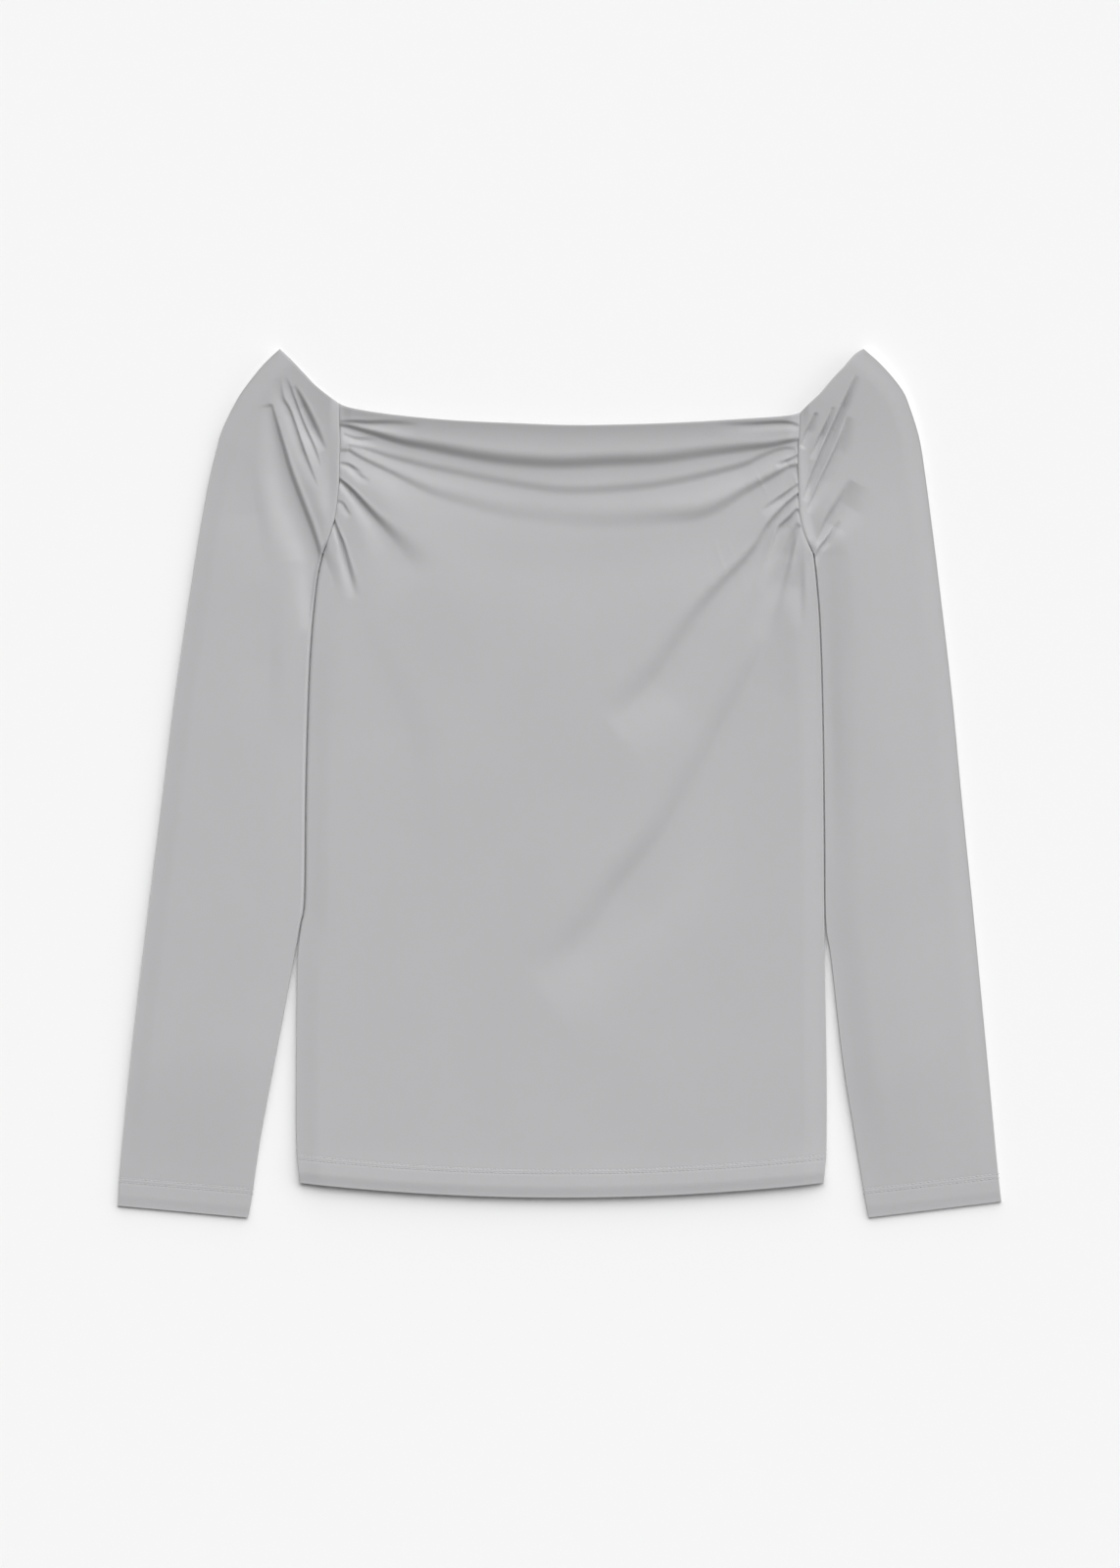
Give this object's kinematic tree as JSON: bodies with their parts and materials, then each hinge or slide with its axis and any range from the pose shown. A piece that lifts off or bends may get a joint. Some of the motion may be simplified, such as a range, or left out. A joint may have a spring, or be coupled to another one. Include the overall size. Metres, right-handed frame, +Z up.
{
  "type": "off-shoulder top",
  "caption": "Thin grey jersey off-shoulder top with long slim sleeves and gathered armhole seams, laid flat on its back.",
  "frame": {"origin": "on the surface that the garment lies on, at the centre of its outline", "axes": "+Z up out of the front of the laid garment, +Y from the hem to the neckline, +X to the wearer's left"},
  "size_m": [0.631, 0.62, 0.0071],
  "materials": {
    "jersey": "soft matt stretch jersey, light grey"
  },
  "bodies": {
    "root": {"back_panel": "jersey", "front_panel": "jersey", "right_sleeve": "jersey", "left_sleeve": "jersey"}
  },
  "joints": []
}
